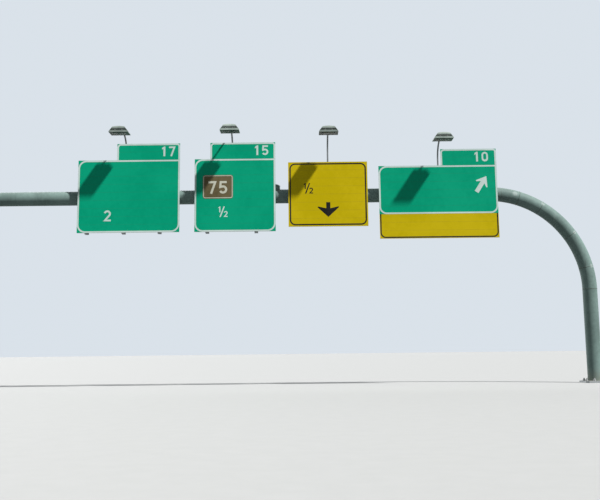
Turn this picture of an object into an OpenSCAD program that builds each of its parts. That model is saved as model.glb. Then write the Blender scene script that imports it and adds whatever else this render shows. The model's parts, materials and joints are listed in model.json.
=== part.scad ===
// Overhead sign gantry: one bent steel tube across a road, with four sign panels and four lamps.
// Millimetres, +Z up. X runs along the beam, the signs face -Y.
// The origin is the middle of the left base plate's underside.

/* [Tube frame] */
// column centre to column centre
span = 25000; // [18000:50:32000]
// height of the beam's axis above the base plates' underside
beam_z = 6800; // [5600:10:8400]
// outside diameter of the columns, bends and beam
tube_d = 508; // [400:1:640]
// wall of the tube
tube_wall = 12.7; // [8:0.1:20]
// radius of each bend, to the tube's axis
bend_r = 3500; // [2600:10:4400]

/* [Base plates] */
// side of the square plate
base_w = 900; // [720:5:1100]
// thickness of the plate
base_t = 64; // [40:1:90]
// cut off each corner of the plate
base_corner = 90; // [20:1:160]
// circle through the anchor bolt holes
anchor_pcd = 760; // [680:1:860]
// radius of an anchor bolt hole
anchor_hole_r = 28; // [16:0.5:34]
// drain and cable hole in the middle of the plate
cable_hole_r = 100; // [40:1:150]

/* [Sign panels] */
// thickness of the sheet
sheet_t = 4; // [2:0.5:8]
// depth of the ribs on the back of a panel
rib_depth = 46; // [25:1:80]
// thickness of a rib
rib_t = 5; // [3:0.5:10]
// height of one extruded plank, from rib to rib
plank_h = 305; // [200:1:400]
// height of the small panel on top of a sign
tab_h = 600; // [450:5:760]
// width of sign 1, the left one
s1_w = 3660; // [2400:10:4400]
// height of sign 1
s1_h = 2640; // [1800:10:3200]
// left column's axis to sign 1
s1_left = 6660; // [5000:10:8000]
// width of the top panel of sign 1
s1_tab_w = 2270; // [1500:10:3000]
// gap between signs 1 and 2
gap_12 = 533; // [200:1:900]
// width of sign 2
s2_w = 2907; // [2200:1:3400]
// height of sign 2
s2_h = 2650; // [1800:10:3200]
// width of the top panel of sign 2
s2_tab_w = 2344; // [1500:1:2800]
// gap between signs 2 and 3
gap_23 = 461; // [200:1:900]
// width of sign 3, the yellow one
s3_w = 2850; // [2200:10:3400]
// height of sign 3
s3_h = 2350; // [1800:10:3000]
// gap between signs 3 and 4
gap_34 = 404; // [200:1:900]
// width of sign 4, the right one
s4_w = 4260; // [3000:10:4800]
// height of the green panel of sign 4
s4_h = 1760; // [1200:10:2400]
// height of the yellow panel under it
s4_low_h = 880; // [500:10:1200]
// width of the top panel of sign 4
s4_tab_w = 2008; // [1500:1:2800]
// top of sign 4's green panel above the beam's axis
s4_top_up = 980; // [700:10:1300]
// middle of signs 1 to 3 below the beam's axis
sign_drop = 20; // [0:5:120]

/* [Sign posts] */
// depth of the post, front to back
post_depth = 150; // [100:1:220]
// width of the post's flanges
post_w = 125; // [80:1:180]
// thickness of the flanges
flange_t = 8; // [5:0.5:14]
// thickness of the web
web_t = 6; // [4:0.5:12]
// length of post that shows below signs 1 and 2
post_tail = 45; // [20:5:200]
// how far the posts of signs 3 and 4 stop above the panel's lower edge
post_short = 40; // [10:5:120]
// gap from the tube's front to the back of the posts
stand_off = 50; // [30:1:90]
// thickness of the bracket's plates
bracket_t = 12; // [8:1:20]
// distance between the two cheeks of a bracket
cheek_gap = 76; // [50:1:100]

/* [Lamps] */
// outside diameter of the lamp arm's pipe
pipe_d = 60; // [42:1:76]
// wall of the pipe
pipe_wall = 4; // [2.5:0.5:6]
// radius of the arm's elbow
elbow_r = 600; // [350:10:700]
// radius of the round foot under the arm
foot_r = 95; // [70:1:130]
// height of that foot above the top of the tube
foot_up = 40; // [25:1:80]
// width of the lamp housing at its underside
lamp_w = 680; // [560:5:860]
// depth of the lamp housing, front to back
lamp_d = 510; // [400:5:600]
// height of the housing without its cap
lamp_h = 128; // [105:1:170]
// upright edge at the foot of each sloping end
lamp_edge = 25; // [10:1:45]
// height of the front lip, below the recess
lamp_lip = 60; // [40:1:80]
// material left at each end of the recess in the front
recess_end = 10; // [6:1:40]
// depth of the recess
recess_deep = 45; // [15:1:70]
// wall of the housing
lamp_wall = 4; // [2.5:0.5:8]
// width of the cap at its top
cap_top_w = 385; // [300:5:460]
// height of the cap
cap_h = 95; // [84:1:120]
// rise of the cap's crown from its ends to its middle
cap_crown = 22; // [8:1:30]
// how far the cap's top is set in at the front and back
cap_slope = 30; // [10:1:60]
// width of the glass under the housing
glass_w = 500; // [400:5:540]
// depth of the glass
glass_d = 360; // [260:5:390]
// how far the glass hangs below the housing
glass_drop = 22; // [14:1:40]
// sign face to the housing's back edge
lamp_reach = 510; // [400:10:1000]
// housing's underside above the top of sign 1
s1_lamp_up = 785; // [650:10:1100]
// the same for sign 2
s2_lamp_up = 810; // [650:10:1100]
// the same for sign 3
s3_lamp_up = 860; // [650:10:1100]
// the same for sign 4
s4_lamp_up = 760; // [650:10:1100]

/* [Cable box] */
// radius of the round box on top of the beam
box_r = 165; // [110:1:200]
// height of its side above the top of the tube
box_up = 120; // [70:1:180]
// height of the domed lid
lid_up = 75; // [40:1:110]
// wall of the box and its lid
box_wall = 6; // [4:0.5:12]
// overhang of the lid round the box
lid_lip = 8; // [4:1:20]

/* [Hidden] */
$fn = 96;
// clearance between parts that sit against a round tube, or slide into each other
seat_gap = 0.3;
tube_r = tube_d / 2;
pipe_r = pipe_d / 2;
straight = span - 2 * bend_r;
// the straight run of the gantry these sign widths were read from
straight_read = 18000;
// signs, gaps and posts stretch with the straight run
fit_k = straight / straight_read;
face_y = -(tube_r + stand_off + post_depth + rib_depth + sheet_t);
rib_back_y = face_y + sheet_t + rib_depth;
post_back_y = rib_back_y + post_depth;
// left edges of the four signs
s1_x = bend_r + (s1_left - 3500) * fit_k;
s2_x = s1_x + (s1_w + gap_12) * fit_k;
s3_x = s2_x + (s2_w + gap_23) * fit_k;
s4_x = s3_x + (s3_w + gap_34) * fit_k;
// bottom edges of the four signs
s1_z = beam_z - sign_drop - s1_h / 2;
s2_z = beam_z - sign_drop - s2_h / 2;
s3_z = beam_z - sign_drop - s3_h / 2;
s4_z = beam_z + s4_top_up - s4_h;
// post places from each sign's left edge
s1_posts = [330, 1652, 2939];
s2_posts = [452, 2208];
s3_posts = [520, 2310];
s4_posts = [560, 2390, 3760];
// lamp places from each sign's left edge
s1_lamp = 1625;
s2_lamp = 1327;
s3_lamp = 1449;
s4_lamp = 2235;
// heights of the housings' undersides
lamp1_z = s1_z + s1_h + s1_lamp_up;
lamp2_z = s2_z + s2_h + s2_lamp_up;
lamp3_z = s3_z + s3_h + s3_lamp_up;
lamp4_z = s4_z + s4_h + s4_lamp_up;
// wall of the round socket that the arm's pipe slides into
socket_wall = 8;
// the pipe enters the cap at half the cap's height, this far above the housing's underside
pipe_in_z = lamp_h + cap_h / 2;
// middle of the housing, front to back
lamp_y = face_y - lamp_reach - lamp_d / 2;
// the ends slope on in one plane from the housing's edge to the cap's top
end_slope = (lamp_w - cap_top_w) / (lamp_h + cap_h - lamp_edge);
// width of both where the cap sits on the housing
seam_w = lamp_w - end_slope * (lamp_h - lamp_edge);
anchor_n = 8;
steel = [0.56, 0.6, 0.58];
zinc = [0.6, 0.62, 0.63];
green = [0.0, 0.42, 0.3];
yellow = [0.75, 0.62, 0.05];
grey = [0.72, 0.74, 0.74];
glass = [0.75, 0.8, 0.8];

// The tube frame

module pipe(outer_r, wall, long) {
  difference() {
    cylinder(r = outer_r, h = long);
    translate([0, 0, -1]) cylinder(r = outer_r - wall, h = long + 2);
  }
}

module column(x) {
  translate([x, 0, base_t]) pipe(tube_r, tube_wall, beam_z - bend_r - base_t);
}

// quarter bend from the +X end of its middle up to the +Z end
module quarter_bend(axis_r, outer_r, wall) {
  rotate([90, 0, 0]) {
    difference() {
      rotate_extrude(angle = 90) translate([axis_r, 0]) circle(r = outer_r);
      rotate_extrude(angle = 90) translate([axis_r, 0]) circle(r = outer_r - wall);
    }
  }
}

module base_plate(x) {
  a = base_w / 2;
  c = base_corner;
  translate([x, 0, 0]) {
    difference() {
      linear_extrude(height = base_t) {
        polygon([[-a + c, -a], [a - c, -a], [a, -a + c], [a, a - c],
                 [a - c, a], [-a + c, a], [-a, a - c], [-a, -a + c]]);
      }
      translate([0, 0, -1]) cylinder(r = cable_hole_r, h = base_t + 2);
      for (i = [0 : anchor_n - 1]) {
        rotate([0, 0, (i + 0.5) * 360 / anchor_n]) {
          translate([anchor_pcd / 2, 0, -1]) cylinder(r = anchor_hole_r, h = base_t + 2);
        }
      }
    }
  }
}

module column_left() {
  color(steel) column(0);
}

module column_right() {
  color(steel) column(span);
}

module base_plate_left() {
  color(steel) base_plate(0);
}

module base_plate_right() {
  color(steel) base_plate(span);
}

module bend_right() {
  color(steel) {
    translate([span - bend_r, 0, beam_z - bend_r]) quarter_bend(bend_r, tube_r, tube_wall);
  }
}

module bend_left() {
  color(steel) {
    translate([bend_r, 0, beam_z - bend_r]) {
      mirror([1, 0, 0]) quarter_bend(bend_r, tube_r, tube_wall);
    }
  }
}

module beam_tube() {
  color(steel) {
    translate([bend_r, 0, beam_z]) rotate([0, 90, 0]) pipe(tube_r, tube_wall, straight);
  }
}

// Cutting tool: the beam's outside with its seating gap

module beam_cut() {
  translate([0, 0, beam_z]) rotate([0, 90, 0]) cylinder(r = tube_r + seat_gap, h = span);
}

// The signs

// a sheet with level ribs on its back, as bolted planks have
module panel(x, z, w, h) {
  planks = max(1, round(h / plank_h));
  pitch = (h - rib_t) / planks;
  translate([x, face_y, z]) {
    union() {
      cube([w, sheet_t, h]);
      for (i = [0 : planks]) {
        translate([0, 0, i * pitch]) cube([w, sheet_t + rib_depth, rib_t]);
      }
    }
  }
}

// wide-flange profile, its front flange at y = 0
module post_profile() {
  w = post_w / 2;
  s = web_t / 2;
  d = post_depth;
  f = flange_t;
  polygon([[-w, 0], [w, 0], [w, f], [s, f], [s, d - f], [w, d - f],
           [w, d], [-w, d], [-w, d - f], [-s, d - f], [-s, f], [-w, f]]);
}

module post(x, z0, z1) {
  translate([x, rib_back_y, z0]) linear_extrude(height = z1 - z0) post_profile();
}

// plate behind the post with two cheeks cut to the tube
module bracket(x) {
  half_h = 0.7 * tube_r;
  deep = stand_off + 0.32 * tube_r;
  difference() {
    translate([x, post_back_y, beam_z - half_h]) {
      union() {
        translate([-post_w / 2 - 30, 0, 0]) cube([post_w + 60, bracket_t, 2 * half_h]);
        translate([-cheek_gap / 2 - bracket_t, 0, 0]) cube([bracket_t, deep, 2 * half_h]);
        translate([cheek_gap / 2, 0, 0]) cube([bracket_t, deep, 2 * half_h]);
      }
    }
    beam_cut();
  }
}

module sign_1_panel() {
  color(green) panel(s1_x, s1_z, s1_w * fit_k, s1_h);
}

module sign_1_tab() {
  color(green) {
    panel(s1_x + (s1_w - s1_tab_w) * fit_k, s1_z + s1_h, s1_tab_w * fit_k, tab_h);
  }
}

module sign_1_posts() {
  top = s1_z + s1_h;
  color(zinc) {
    post(s1_x + s1_posts[0] * fit_k, s1_z - post_tail, top);
    post(s1_x + s1_posts[1] * fit_k, s1_z - post_tail, top + tab_h);
    post(s1_x + s1_posts[2] * fit_k, s1_z - post_tail, top + tab_h);
  }
}

module sign_1_brackets() {
  color(zinc) for (p = s1_posts) bracket(s1_x + p * fit_k);
}

module sign_2_panel() {
  color(green) panel(s2_x, s2_z, s2_w * fit_k, s2_h);
}

module sign_2_tab() {
  color(green) {
    panel(s2_x + (s2_w - s2_tab_w) * fit_k, s2_z + s2_h, s2_tab_w * fit_k, tab_h);
  }
}

module sign_2_posts() {
  top = s2_z + s2_h;
  color(zinc) {
    post(s2_x + s2_posts[0] * fit_k, s2_z - post_tail, top);
    post(s2_x + s2_posts[1] * fit_k, s2_z - post_tail, top + tab_h);
  }
}

module sign_2_brackets() {
  color(zinc) for (p = s2_posts) bracket(s2_x + p * fit_k);
}

module sign_3_panel() {
  color(yellow) panel(s3_x, s3_z, s3_w * fit_k, s3_h);
}

module sign_3_posts() {
  color(zinc) {
    for (p = s3_posts) post(s3_x + p * fit_k, s3_z + post_short, s3_z + s3_h);
  }
}

module sign_3_brackets() {
  color(zinc) for (p = s3_posts) bracket(s3_x + p * fit_k);
}

module sign_4_panel() {
  color(green) panel(s4_x, s4_z, s4_w * fit_k, s4_h);
}

module sign_4_low_panel() {
  color(yellow) panel(s4_x, s4_z - s4_low_h, s4_w * fit_k, s4_low_h);
}

module sign_4_tab() {
  color(green) {
    panel(s4_x + (s4_w - s4_tab_w) * fit_k, s4_z + s4_h, s4_tab_w * fit_k, tab_h);
  }
}

module sign_4_posts() {
  low = s4_z - s4_low_h + post_short;
  top = s4_z + s4_h;
  color(zinc) {
    post(s4_x + s4_posts[0] * fit_k, low, top);
    post(s4_x + s4_posts[1] * fit_k, low, top + tab_h);
    post(s4_x + s4_posts[2] * fit_k, low, top + tab_h);
  }
}

module sign_4_brackets() {
  color(zinc) for (p = s4_posts) bracket(s4_x + p * fit_k);
}

// The lamps

// upright pipe, elbow and level pipe as one solid rod
module arm_rod(r, x, foot_z, top_z, end_y) {
  turn_z = top_z - elbow_r;
  union() {
    translate([x, 0, foot_z]) cylinder(r = r, h = turn_z - foot_z);
    translate([x, -elbow_r, turn_z]) {
      rotate([90, 0, 90]) {
        rotate_extrude(angle = 90) translate([elbow_r, 0]) circle(r = r);
      }
    }
    translate([x, -elbow_r, top_z]) rotate([90, 0, 0]) cylinder(r = r, h = -end_y - elbow_r);
  }
}

// round foot cut to the tube, and a hollow arm on it
module lamp_arm(x, lamp_z) {
  foot_top = beam_z + tube_r + foot_up;
  top_z = lamp_z + pipe_in_z;
  end_y = face_y - lamp_reach - 30;
  difference() {
    union() {
      translate([x, 0, beam_z]) cylinder(r = foot_r, h = foot_top - beam_z);
      arm_rod(pipe_r, x, foot_top - 10, top_z, end_y);
    }
    beam_cut();
    arm_rod(pipe_r - pipe_wall, x, foot_top - 5, top_z, end_y - 1);
  }
}

// block with its underside at z = 0: sloping ends above an upright edge,
// and a sloping front and back above an upright lip
module sloped_block(low_w, top_w, edge, low_d, top_d, lip, h) {
  a = low_w / 2;
  b = low_d / 2;
  intersection() {
    rotate([90, 0, 0]) {
      linear_extrude(height = low_d + 2, center = true) {
        polygon([[-a, 0], [a, 0], [a, edge], [top_w / 2, h], [-top_w / 2, h], [-a, edge]]);
      }
    }
    rotate([90, 0, 90]) {
      linear_extrude(height = low_w + 2, center = true) {
        polygon([[-b, 0], [b, 0], [b, lip], [top_d / 2, h], [-top_d / 2, h], [-b, lip]]);
      }
    }
  }
}

// notch in the housing's front between its lip and its cap, its ends along the housing's slopes
module front_recess() {
  top = lamp_h + 1;
  low_x = (lamp_w - end_slope * (lamp_lip - lamp_edge)) / 2 - recess_end;
  top_x = (lamp_w - end_slope * (top - lamp_edge)) / 2 - recess_end;
  translate([0, recess_deep - lamp_d / 2, 0]) {
    rotate([90, 0, 0]) {
      linear_extrude(height = recess_deep + 1) {
        polygon([[-low_x, lamp_lip], [low_x, lamp_lip], [top_x, top], [-top_x, top]]);
      }
    }
  }
}

// inside of the housing
module lamp_hollow() {
  w = lamp_w - 2 * lamp_wall;
  d = lamp_d - 2 * lamp_wall;
  h = lamp_h - 2 * lamp_wall;
  difference() {
    translate([0, 0, lamp_wall]) {
      sloped_block(w, seam_w - 3 * lamp_wall, lamp_edge - lamp_wall, d, d - 4, h - 4, h);
    }
    // kept solid round the recess
    translate([-lamp_w / 2, -lamp_d / 2, lamp_lip - lamp_wall]) {
      cube([lamp_w, recess_deep + lamp_wall, lamp_h]);
    }
  }
}

module lamp_housing(x, z) {
  translate([x, lamp_y, z]) {
    difference() {
      sloped_block(lamp_w, seam_w, lamp_edge, lamp_d, lamp_d - 2, lamp_h - 2, lamp_h);
      front_recess();
      lamp_hollow();
      // opening for the glass
      translate([-glass_w / 2, -glass_d / 2, -1]) cube([glass_w, glass_d, lamp_wall + 2]);
    }
  }
}

// glass bowl: a flat rim inside the opening and a shallow bowl below
module lamp_glass(x, z) {
  w = glass_w - 2 * seat_gap;
  d = glass_d - 2 * seat_gap;
  slope = 60;
  glass_t = 6;
  translate([x, lamp_y, z]) {
    difference() {
      union() {
        translate([-w / 2, -d / 2, -2]) cube([w, d, lamp_wall + 2]);
        mirror([0, 0, 1]) sloped_block(w, w - slope, 6, d, d - slope, 6, glass_drop);
      }
      translate([0, 0, lamp_wall + 1]) {
        mirror([0, 0, 1]) {
          sloped_block(w - 2 * glass_t, w - slope - 2 * glass_t, 6 + lamp_wall,
                       d - 2 * glass_t, d - slope - 2 * glass_t, 6 + lamp_wall,
                       glass_drop + lamp_wall + 1 - glass_t);
        }
      }
    }
  }
}

// round bar along y whose top crowns the cap, or the cap's inside by a smaller radius
module crown(inset) {
  r = (cap_top_w * cap_top_w / 4 + cap_crown * cap_crown) / (2 * cap_crown);
  translate([0, 0, cap_h - r]) {
    rotate([90, 0, 0]) cylinder(r = r - inset, h = lamp_d + 10, center = true);
  }
}

// inside of the cap, with a floor left over the housing's front recess
module cap_hollow() {
  d = lamp_d - 2 * lamp_wall;
  difference() {
    intersection() {
      translate([0, 0, -1]) {
        sloped_block(seam_w - 3 * lamp_wall, cap_top_w - 3 * lamp_wall, 2,
                     d, d - 2 * cap_slope, cap_h / 2, cap_h + 1);
      }
      crown(lamp_wall);
    }
    translate([-lamp_w / 2, -lamp_d / 2, -2]) {
      cube([lamp_w, recess_deep + lamp_wall, lamp_wall + 2]);
    }
  }
}

// round rod along y at the arm's height in the cap, from behind the cap into it
module socket_rod(r, behind, inside) {
  translate([0, lamp_d / 2 + behind, pipe_in_z - lamp_h]) {
    rotate([90, 0, 0]) cylinder(r = r, h = behind + inside);
  }
}

// housing of the lamp's control gear, held on the arm by its socket
module lamp_cap(x, z) {
  translate([x, lamp_y, z + lamp_h]) {
    difference() {
      union() {
        difference() {
          intersection() {
            sloped_block(seam_w, cap_top_w, 1, lamp_d, lamp_d - 2 * cap_slope, cap_h / 2, cap_h + 1);
            crown(0);
          }
          cap_hollow();
        }
        socket_rod(pipe_r + socket_wall, 60, 40);
      }
      socket_rod(pipe_r + seat_gap, 61, 41);
    }
  }
}

lamp1_x = s1_x + s1_lamp * fit_k;
lamp2_x = s2_x + s2_lamp * fit_k;
lamp3_x = s3_x + s3_lamp * fit_k;
lamp4_x = s4_x + s4_lamp * fit_k;

module lamp_1_arm() {
  color(steel) lamp_arm(lamp1_x, lamp1_z);
}

module lamp_2_arm() {
  color(steel) lamp_arm(lamp2_x, lamp2_z);
}

module lamp_3_arm() {
  color(steel) lamp_arm(lamp3_x, lamp3_z);
}

module lamp_4_arm() {
  color(steel) lamp_arm(lamp4_x, lamp4_z);
}

module lamp_1_housing() {
  color(grey) lamp_housing(lamp1_x, lamp1_z);
}

module lamp_2_housing() {
  color(grey) lamp_housing(lamp2_x, lamp2_z);
}

module lamp_3_housing() {
  color(grey) lamp_housing(lamp3_x, lamp3_z);
}

module lamp_4_housing() {
  color(grey) lamp_housing(lamp4_x, lamp4_z);
}

module lamp_1_glass() {
  color(glass) lamp_glass(lamp1_x, lamp1_z);
}

module lamp_2_glass() {
  color(glass) lamp_glass(lamp2_x, lamp2_z);
}

module lamp_3_glass() {
  color(glass) lamp_glass(lamp3_x, lamp3_z);
}

module lamp_4_glass() {
  color(glass) lamp_glass(lamp4_x, lamp4_z);
}

module lamp_1_cap() {
  color(grey) lamp_cap(lamp1_x, lamp1_z);
}

module lamp_2_cap() {
  color(grey) lamp_cap(lamp2_x, lamp2_z);
}

module lamp_3_cap() {
  color(grey) lamp_cap(lamp3_x, lamp3_z);
}

module lamp_4_cap() {
  color(grey) lamp_cap(lamp4_x, lamp4_z);
}

// The cable box on top of the beam, at the right edge of sign 2

box_x = s2_x + (s2_w - 10) * fit_k;
box_top = beam_z + tube_r + box_up;

module cable_box() {
  color(steel) {
    difference() {
      translate([box_x, 0, beam_z]) cylinder(r = box_r, h = box_top - beam_z);
      beam_cut();
      translate([box_x, 0, beam_z - 1]) cylinder(r = box_r - box_wall, h = box_top - beam_z + 2);
    }
  }
}

// a hollow slice of a ball, wider than the box by a small lip
module cable_box_lid() {
  lip_r = box_r + lid_lip;
  lip_h = 8;
  ball_r = (lip_r * lip_r + lid_up * lid_up) / (2 * lid_up);
  ball_z = lip_h + lid_up - ball_r;
  color(steel) {
    translate([box_x, 0, box_top]) {
      difference() {
        union() {
          cylinder(r = lip_r, h = lip_h);
          intersection() {
            translate([0, 0, ball_z]) sphere(r = ball_r);
            translate([0, 0, lip_h - 1]) cylinder(r = lip_r, h = lid_up + 10);
          }
        }
        intersection() {
          translate([0, 0, ball_z]) sphere(r = ball_r - box_wall);
          translate([0, 0, -1]) cylinder(r = box_r - box_wall, h = lid_up + 10);
        }
      }
    }
  }
}

column_left();
column_right();
base_plate_left();
base_plate_right();
bend_left();
bend_right();
beam_tube();
sign_1_panel();
sign_1_tab();
sign_1_posts();
sign_1_brackets();
sign_2_panel();
sign_2_tab();
sign_2_posts();
sign_2_brackets();
sign_3_panel();
sign_3_posts();
sign_3_brackets();
sign_4_panel();
sign_4_low_panel();
sign_4_tab();
sign_4_posts();
sign_4_brackets();
lamp_1_arm();
lamp_2_arm();
lamp_3_arm();
lamp_4_arm();
lamp_1_housing();
lamp_2_housing();
lamp_3_housing();
lamp_4_housing();
lamp_1_glass();
lamp_2_glass();
lamp_3_glass();
lamp_4_glass();
lamp_1_cap();
lamp_2_cap();
lamp_3_cap();
lamp_4_cap();
cable_box();
cable_box_lid();
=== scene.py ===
# Overhead sign gantry: sheeting, paint, zinc, welds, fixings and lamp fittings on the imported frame.
# Metres, +Z up. X runs along the beam, and the signs face -Y.
import json
import math
import random

import bmesh
import bpy
from mathutils import Matrix, Vector
from mathutils.geometry import tessellate_polygon

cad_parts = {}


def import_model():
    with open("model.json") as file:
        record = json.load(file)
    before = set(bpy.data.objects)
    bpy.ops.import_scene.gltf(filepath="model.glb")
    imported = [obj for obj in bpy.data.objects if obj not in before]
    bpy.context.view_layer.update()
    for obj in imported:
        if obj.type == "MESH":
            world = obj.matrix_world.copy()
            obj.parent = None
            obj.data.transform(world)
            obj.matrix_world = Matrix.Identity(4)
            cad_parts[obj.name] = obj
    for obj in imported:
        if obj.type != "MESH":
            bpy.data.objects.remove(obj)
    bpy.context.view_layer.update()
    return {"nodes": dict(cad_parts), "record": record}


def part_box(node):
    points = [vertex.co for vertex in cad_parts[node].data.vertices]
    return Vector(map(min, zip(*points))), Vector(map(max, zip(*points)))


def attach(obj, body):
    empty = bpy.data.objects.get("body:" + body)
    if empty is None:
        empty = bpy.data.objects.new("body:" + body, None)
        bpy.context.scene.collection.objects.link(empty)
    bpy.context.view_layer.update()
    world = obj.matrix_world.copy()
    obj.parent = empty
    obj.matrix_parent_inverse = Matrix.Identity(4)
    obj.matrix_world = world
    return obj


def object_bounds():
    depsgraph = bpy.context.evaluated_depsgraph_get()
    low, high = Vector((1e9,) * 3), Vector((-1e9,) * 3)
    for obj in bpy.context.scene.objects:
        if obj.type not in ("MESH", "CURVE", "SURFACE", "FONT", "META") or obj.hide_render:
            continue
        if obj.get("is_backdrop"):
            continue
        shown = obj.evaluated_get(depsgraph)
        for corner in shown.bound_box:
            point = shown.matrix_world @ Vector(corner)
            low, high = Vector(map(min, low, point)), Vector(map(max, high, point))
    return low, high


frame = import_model()
nodes = frame["nodes"]
random.seed(7)

MM = 0.001
X, Y, Z = (1, 0, 0), (0, 1, 0), (0, 0, 1)
TO_READER = (0, -1, 0)
DOWN = (0, 0, -1)

# Sizes taken from the frame

beam_low, beam_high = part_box("beam_tube")
tube_r = (beam_high.z - beam_low.z) / 2
beam_z = (beam_high.z + beam_low.z) / 2
bend_r = beam_low.x
far_low, far_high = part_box("column_right")
span = (far_low.x + far_high.x) / 2
plate_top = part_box("base_plate_left")[1].z
face_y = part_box("sign_1_panel")[0].y
rib_back_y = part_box("sign_1_panel")[1].y
post_back_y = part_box("sign_1_posts")[1].y

# Sizes of the frame's pieces that their boxes don't give

PLANK_H = 305 * MM
RIB_T = 5 * MM
POST_W = 125 * MM
BRACKET_T = 12 * MM
CHEEK_FACES = (38 * MM, 50 * MM)
ANCHORS = 8
ANCHOR_RING_R = 380 * MM
PIPE_R = 30 * MM
ARM_FOOT_R = 95 * MM
ARM_FOOT_UP = 40 * MM
RECESS_DEEP = 45 * MM
LAMP_W, CAP_TOP_W = 680 * MM, 385 * MM
SLOPE_RISE = 198 * MM
# sideways run of a lamp's sloping ends for each unit of height
END_SLOPE = (LAMP_W - CAP_TOP_W) / 2 / SLOPE_RISE

# Seams of a bend: degrees from the beam's end, and how strongly each stains the paint
BEND_SEAMS = ((0.0, 0.6), (17.8, 0.75), (32.0, 0.35), (56.0, 0.3), (77.0, 0.3), (90.0, 0.5))
# Way along x from the beam to each column
WAYS = {"left": -1, "right": 1}


def bend_seams(side):
    """Middle of the tube, its direction and the stain's strength at each seam of one bend."""
    way = WAYS[side]
    centre_x = bend_r if side == "left" else span - bend_r
    seams = []
    for degrees, stain in BEND_SEAMS:
        a = math.radians(degrees)
        middle = (centre_x + way * bend_r * math.sin(a), 0, beam_z - bend_r + bend_r * math.cos(a))
        seams.append((middle, (way * math.cos(a), 0, -math.sin(a)), stain))
    return seams


# Shapes: closed meshes as lists of points and faces

class Form:
    """Points and faces of one or more closed shapes."""

    def __init__(self, points=(), faces=()):
        self.points = list(points)
        self.faces = list(faces)

    def add(self, other, matrix=None):
        """Joins another form, moved by the matrix."""
        start = len(self.points)
        self.points += [matrix @ Vector(p) for p in other.points] if matrix else other.points
        self.faces += [[start + i for i in face] for face in other.faces]
        return self

    def from_mm(self):
        """The same form, its numbers read as millimetres."""
        return Form([tuple(c * MM for c in p) for p in self.points], self.faces)

    def mirrored(self):
        """The same form turned over in x."""
        return Form([(-x, y, z) for x, y, z in self.points], [face[::-1] for face in self.faces])


def stand(origin, u=X, v=Z):
    """Matrix that lays a form's x along u and its y along v, its z square to both."""
    u = Vector(u).normalized()
    v = Vector(v).normalized()
    w = u.cross(v)
    rows = [[u[i], v[i], w[i], origin[i]] for i in range(3)] + [[0, 0, 0, 1]]
    return Matrix(rows)


def arc(cx, cy, radius, start, end, steps):
    """Points of an arc, with its angles in degrees."""
    out = []
    for i in range(steps + 1):
        a = math.radians(start + (end - start) * i / steps)
        out.append((cx + radius * math.cos(a), cy + radius * math.sin(a)))
    return out


def rounded(x0, y0, x1, y1, radii, steps=12):
    """Rectangle whose corners have radii: low left, low right, top right, top left."""
    corners = ((x0, y0, 1, 1), (x1, y0, -1, 1), (x1, y1, -1, -1), (x0, y1, 1, -1))
    out = []
    for (cx, cy, sx, sy), r, start in zip(corners, radii, (180, 270, 0, 90)):
        if r > 0:
            out += arc(cx + sx * r, cy + sy * r, r, start, start + 90, steps)
        else:
            out.append((cx, cy))
    return out


def prism(outlines, depth):
    """Flat outlines, the first one outside and the others holes, given a depth along z."""
    form = Form()
    loops = [[Vector((x, y, 0)) for x, y in line] for line in outlines]
    count = sum(len(line) for line in loops)
    for z in (0, depth):
        form.points += [(p.x, p.y, z) for line in loops for p in line]
    for a, b, c in tessellate_polygon(loops):
        form.faces.append([a, b, c])
        form.faces.append([count + c, count + b, count + a])
    start = 0
    for line in loops:
        n = len(line)
        for i in range(n):
            a = start + i
            b = start + (i + 1) % n
            form.faces.append([a, b, count + b, count + a])
        start += n
    return form


def turned(profile, sides):
    """Closed shape turned round z from (radius, height) points that start and end on the axis."""
    form = Form()
    rings = []
    for r, z in profile:
        first = len(form.points)
        if r == 0:
            form.points.append((0, 0, z))
            rings.append([first] * sides)
            continue
        for i in range(sides):
            a = 2 * math.pi * i / sides
            form.points.append((r * math.cos(a), r * math.sin(a), z))
        rings.append(list(range(first, first + sides)))
    for low, high in zip(rings, rings[1:]):
        for i in range(sides):
            j = (i + 1) % sides
            face = [low[i], low[j], high[j], high[i]]
            face = [v for k, v in enumerate(face) if v not in face[:k]]
            if len(face) > 2:
                form.faces.append(face)
    return form


def swept(path, section, closed, sizes):
    """A section carried along a path of (point, outward) pairs, scaled at each by its size."""
    form = Form()
    n = len(path)
    m = len(section)
    for i, (point, outward) in enumerate(path):
        before = path[i - 1][0] if closed or i > 0 else point
        after = path[(i + 1) % n][0] if closed or i < n - 1 else point
        along = (after - before).normalized()
        across = along.cross(outward).normalized()
        out = across.cross(along).normalized()
        for a, b in section:
            form.points.append(point + across * a * sizes[i] + out * b * sizes[i])
    for i in range(n if closed else n - 1):
        j = (i + 1) % n
        for a in range(m):
            b = (a + 1) % m
            form.faces.append([i * m + a, i * m + b, j * m + b, j * m + a])
    if not closed:
        form.faces.append(list(range(m)))
        form.faces.append([(n - 1) * m + a for a in reversed(range(m))])
    return form


BEAD_OUT = MM


def weld(path, radius, closed=True):
    """Rippled weld bead along a path, half sunk in the metal under it."""
    flat = 0.75 * radius
    crest, trough = 1.12, 0.9
    section = [(radius * math.cos(t), flat * math.sin(t)) for t in [math.pi * k / 3 for k in range(6)]]
    sizes = [random.uniform(0.9, 1.1) * (crest if i % 2 else trough) for i in range(len(path))]
    return swept(path, section, closed, sizes)


def ring_path(centre, axis, radius, step):
    """Path round a tube whose axis lies in the XZ plane, with outward directions."""
    axis = Vector(axis).normalized()
    side = axis.cross(Vector(Y)).normalized()
    other = axis.cross(side)
    n = 2 * round(math.pi * radius / step)
    out = []
    for i in range(n):
        a = 2 * math.pi * i / n
        d = side * math.cos(a) + other * math.sin(a)
        out.append((Vector(centre) + d * radius, d))
    return out


def corner_path(centre, radius, step):
    """Path where an upright tube meets a level face: outward and up in equal parts."""
    ring = ring_path(centre, Z, radius, step)
    return [(p, (d + Vector(Z)).normalized()) for p, d in ring]


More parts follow.
